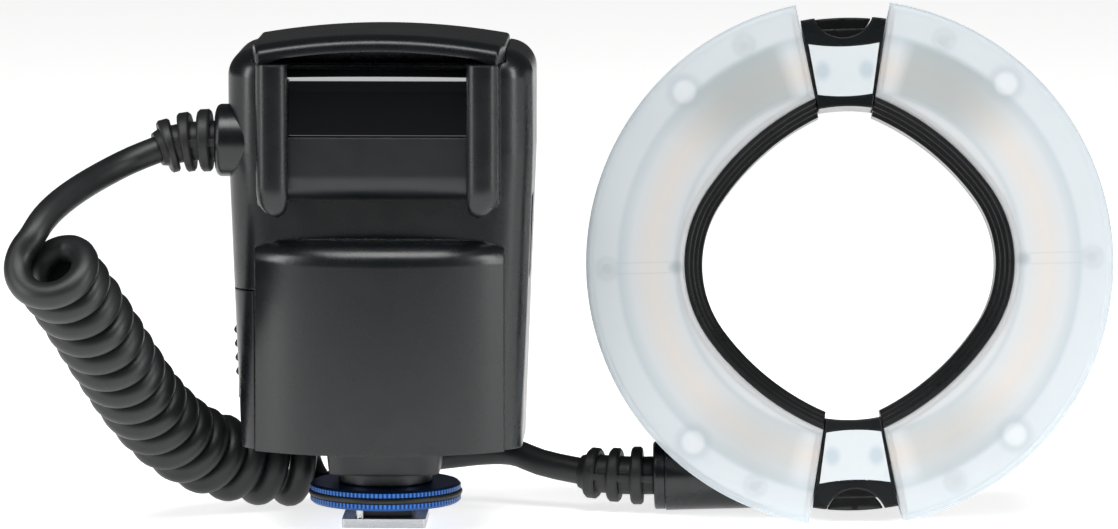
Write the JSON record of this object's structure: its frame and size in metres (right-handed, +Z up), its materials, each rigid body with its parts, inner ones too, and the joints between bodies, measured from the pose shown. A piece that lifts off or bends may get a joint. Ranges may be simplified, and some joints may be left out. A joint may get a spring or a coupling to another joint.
{
  "type": "macro ring flash",
  "caption": "Macro ring flash: battery and control unit on a hot-shoe foot, curly cord, and a ring lamp head with two diffused halves that slide outward.",
  "frame": {"origin": "centre of the shoe foot's underside", "axes": "+Z up along the control unit, -Y out of its front, +X towards the lamp head"},
  "size_m": [0.2407, 0.1009, 0.1153],
  "materials": {
    "arrow_down_button": "satin",
    "arrow_left_button": "satin",
    "arrow_right_button": "satin",
    "arrow_up_button": "satin",
    "battery_cells": "satin",
    "battery_contacts": "satin",
    "battery_door": "satin",
    "battery_magazine": "satin",
    "bottom_lamp_window": "satin",
    "bottom_latch_ring": "satin",
    "bottom_led_board": "satin",
    "bottom_release_button": "satin",
    "cable_collar": "satin",
    "cable_housing": "satin",
    "contact_pins": "satin",
    "cord_coil": "satin",
    "cord_left": "satin",
    "cord_right": "satin",
    "display_cover": "satin",
    "display_panel": "satin",
    "flash_capacitor": "satin",
    "foot_base": "satin",
    "foot_plate": "satin",
    "front_panel": "satin",
    "front_shell": "satin",
    "lamp_chassis": "satin",
    "lamp_screws": "satin",
    "lamp_strain_relief": "satin",
    "left_diffuser": "satin",
    "left_flash_tube": "satin",
    "left_rear_shell": "satin",
    "left_reflector": "satin",
    "left_rim": "satin",
    "lock_pin": "satin",
    "lock_ring": "satin",
    "lock_ring_seal": "satin",
    "main_board": "satin",
    "mount_ring": "satin",
    "power_button": "satin",
    "rear_shell": "satin",
    "receiver_board": "satin",
    "right_diffuser": "satin",
    "right_flash_tube": "satin",
    "right_rear_shell": "satin",
    "right_reflector": "satin",
    "right_rim": "satin",
    "sensor_window": "satin",
    "set_button": "satin",
    "socket_block": "satin",
    "socket_cover": "satin",
    "test_button": "satin",
    "top_cap": "satin",
    "top_lamp_window": "satin",
    "top_latch_ring": "satin",
    "top_led_board": "satin",
    "top_release_button": "satin",
    "unit_gland": "satin",
    "unit_screws": "satin",
    "unit_strain_relief": "satin"
  },
  "bodies": {
    "unit": {"battery_cells": "battery_cells", "battery_contacts": "battery_contacts", "battery_magazine": "battery_magazine", "bottom_lamp_window": "bottom_lamp_window", "bottom_led_board": "bottom_led_board", "cable_collar": "cable_collar", "cable_housing": "cable_housing", "contact_pins": "contact_pins", "cord_coil": "cord_coil", "cord_left": "cord_left", "cord_right": "cord_right", "display_cover": "display_cover", "display_panel": "display_panel", "flash_capacitor": "flash_capacitor", "foot_base": "foot_base", "foot_plate": "foot_plate", "front_panel": "front_panel", "front_shell": "front_shell", "lamp_chassis": "lamp_chassis", "lamp_screws": "lamp_screws", "lamp_strain_relief": "lamp_strain_relief", "main_board": "main_board", "mount_ring": "mount_ring", "rear_shell": "rear_shell", "receiver_board": "receiver_board", "sensor_window": "sensor_window", "socket_block": "socket_block", "top_cap": "top_cap", "top_lamp_window": "top_lamp_window", "top_led_board": "top_led_board", "unit_gland": "unit_gland", "unit_screws": "unit_screws", "unit_strain_relief": "unit_strain_relief"},
    "battery_door": {"battery_door": "battery_door"},
    "socket_cover": {"socket_cover": "socket_cover"},
    "lock_ring": {"lock_ring": "lock_ring", "lock_ring_seal": "lock_ring_seal"},
    "lock_pin": {"lock_pin": "lock_pin"},
    "left_half": {"left_diffuser": "left_diffuser", "left_rear_shell": "left_rear_shell", "left_rim": "left_rim", "left_reflector": "left_reflector", "left_flash_tube": "left_flash_tube"},
    "right_half": {"right_diffuser": "right_diffuser", "right_rear_shell": "right_rear_shell", "right_rim": "right_rim", "right_reflector": "right_reflector", "right_flash_tube": "right_flash_tube"},
    "top_release": {"top_release_button": "top_release_button", "top_latch_ring": "top_latch_ring"},
    "bottom_release": {"bottom_release_button": "bottom_release_button", "bottom_latch_ring": "bottom_latch_ring"},
    "arrow_up_button": {"arrow_up_button": "arrow_up_button"},
    "arrow_down_button": {"arrow_down_button": "arrow_down_button"},
    "arrow_left_button": {"arrow_left_button": "arrow_left_button"},
    "arrow_right_button": {"arrow_right_button": "arrow_right_button"},
    "set_button": {"set_button": "set_button"},
    "power_button": {"power_button": "power_button"},
    "test_button": {"test_button": "test_button"}
  },
  "joints": [
    {"name": "battery_door_slide", "type": "slide", "parent": "unit", "child": "battery_door", "axis": [0, 0, -1], "range_m": [0, 0.006]},
    {"name": "arrow_up_button_press", "type": "slide", "parent": "unit", "child": "arrow_up_button", "axis": [0, -1, 0], "range_m": [0, 0.0008], "stiffness_N_per_m": 400},
    {"name": "arrow_down_button_press", "type": "slide", "parent": "unit", "child": "arrow_down_button", "axis": [0, -1, 0], "range_m": [0, 0.0008], "stiffness_N_per_m": 400},
    {"name": "arrow_left_button_press", "type": "slide", "parent": "unit", "child": "arrow_left_button", "axis": [0, -1, 0], "range_m": [0, 0.0008], "stiffness_N_per_m": 400},
    {"name": "arrow_right_button_press", "type": "slide", "parent": "unit", "child": "arrow_right_button", "axis": [0, -1, 0], "range_m": [0, 0.0008], "stiffness_N_per_m": 400},
    {"name": "set_button_press", "type": "slide", "parent": "unit", "child": "set_button", "axis": [0, -1, 0], "range_m": [0, 0.0008], "stiffness_N_per_m": 400},
    {"name": "power_button_press", "type": "slide", "parent": "unit", "child": "power_button", "axis": [0, -1, 0], "range_m": [0, 0.0008], "stiffness_N_per_m": 400},
    {"name": "test_button_press", "type": "slide", "parent": "unit", "child": "test_button", "axis": [0, -1, 0], "range_m": [0, 0.0008], "stiffness_N_per_m": 400},
    {"name": "socket_cover_hinge", "type": "hinge", "parent": "unit", "child": "socket_cover", "pos_m": [0.03253, -0.0085, 0.057], "axis": [0, 1, 0], "range_deg": [0, 110]},
    {"name": "lock_ring_turn", "type": "hinge", "parent": "unit", "child": "lock_ring", "pos_m": [0, 0, 0.0071], "axis": [0, 0, 1], "range_deg": [0, 60]},
    {"name": "lock_pin_drop", "type": "slide", "parent": "unit", "child": "lock_pin", "axis": [0, 0, -1], "range_m": [0, 0.0015]},
    {"name": "right_half_slide", "type": "slide", "parent": "unit", "child": "right_half", "axis": [0.9996, 0.0038, 0.0277], "range_m": [0, 0.008]},
    {"name": "left_half_slide", "type": "slide", "parent": "unit", "child": "left_half", "axis": [-0.9996, -0.0038, -0.0277], "range_m": [0, 0.008]},
    {"name": "top_release_press", "type": "slide", "parent": "unit", "child": "top_release", "axis": [0.0279, -0.1357, -0.9904], "range_m": [0, 0.002], "stiffness_N_per_m": 500},
    {"name": "bottom_release_press", "type": "slide", "parent": "unit", "child": "bottom_release", "axis": [-0.0279, 0.1357, 0.9904], "range_m": [0, 0.002], "stiffness_N_per_m": 500}
  ],
  "couplings": [
    {"joint": "lock_pin_drop", "follows": "lock_ring_turn", "m_per_rad": 0.001432}
  ]
}
